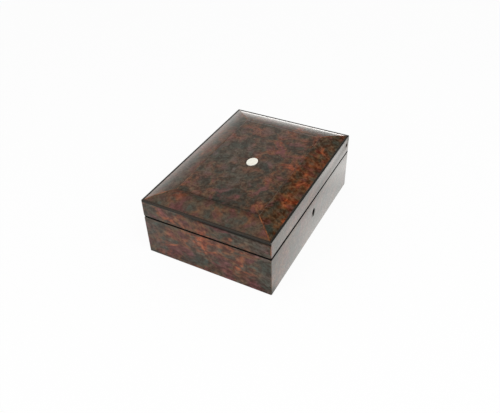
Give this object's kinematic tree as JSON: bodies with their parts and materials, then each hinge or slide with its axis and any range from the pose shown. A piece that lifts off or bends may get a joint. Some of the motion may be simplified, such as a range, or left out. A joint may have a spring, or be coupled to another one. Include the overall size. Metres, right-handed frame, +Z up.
{
  "type": "lockable wooden money box",
  "caption": "Low rectangular wooden money box in burr veneer, with a hinged cushioned lid, an ebonised edge, an inlaid pearl oval and a lock in the front wall.",
  "frame": {"origin": "centre of the underside, on the surface that the box stands on", "axes": "+X along the length to the right of someone facing the keyhole, -Y towards the front with the keyhole, +Z up"},
  "size_m": [0.26, 0.186, 0.0952],
  "materials": {
    "carcass_wood": "satin",
    "burr_veneer": "french polished",
    "ebonised_wood": "french polished",
    "mother_of_pearl": "gloss",
    "brass": "satin",
    "steel": "satin",
    "velvet": "napped",
    "baize": "napped"
  },
  "bodies": {
    "base": {"base_front_board": "carcass_wood", "base_back_board": "carcass_wood", "base_left_board": "carcass_wood", "base_right_board": "carcass_wood", "bottom_board": "carcass_wood", "bottom_brads": "steel", "base_baize": "baize", "base_front_veneer": "burr_veneer", "base_back_veneer": "burr_veneer", "base_left_veneer": "burr_veneer", "base_right_veneer": "burr_veneer", "base_rim_facings": "ebonised_wood", "floor_lining": "velvet", "front_lining": "velvet", "back_lining": "velvet", "left_lining": "velvet", "right_lining": "velvet", "lock_plate": "brass", "lock_case": "brass", "lock_rivets": "brass", "lock_pin": "steel", "lock_ward": "brass", "lock_screws": "brass", "bolt_spring": "steel", "left_hinge_base_leaf": "brass", "right_hinge_base_leaf": "brass", "left_hinge_pin": "steel", "right_hinge_pin": "steel", "hinge_base_screws": "brass"},
    "lid": {"lid_front_board": "carcass_wood", "lid_back_board": "carcass_wood", "lid_left_board": "carcass_wood", "lid_right_board": "carcass_wood", "lid_top_board": "carcass_wood", "lid_front_veneer": "burr_veneer", "lid_back_veneer": "burr_veneer", "lid_left_veneer": "burr_veneer", "lid_right_veneer": "burr_veneer", "lid_rim_facings": "ebonised_wood", "front_edging": "ebonised_wood", "back_edging": "ebonised_wood", "left_edging": "ebonised_wood", "right_edging": "ebonised_wood", "crown_front_veneer": "burr_veneer", "crown_back_veneer": "burr_veneer", "crown_left_veneer": "burr_veneer", "crown_right_veneer": "burr_veneer", "crown_centre_veneer": "burr_veneer", "pearl_oval": "mother_of_pearl", "lid_wall_linings": "velvet", "lid_pad": "velvet", "left_hinge_lid_leaf": "brass", "right_hinge_lid_leaf": "brass", "hinge_lid_screws": "brass", "link_plate": "brass", "link_plate_screws": "brass"},
    "lock_bolt": {"lock_bolt": "steel"}
  },
  "joints": [
    {"name": "lid_hinge", "type": "hinge", "parent": "base", "child": "lid", "pos_m": [0, 0.0911, 0.0626], "axis": [-1, 0, 0], "range_deg": [0, 100]},
    {"name": "bolt_slide", "type": "slide", "parent": "base", "child": "lock_bolt", "axis": [1, 0, 0], "range_m": [0, 0.005]}
  ]
}
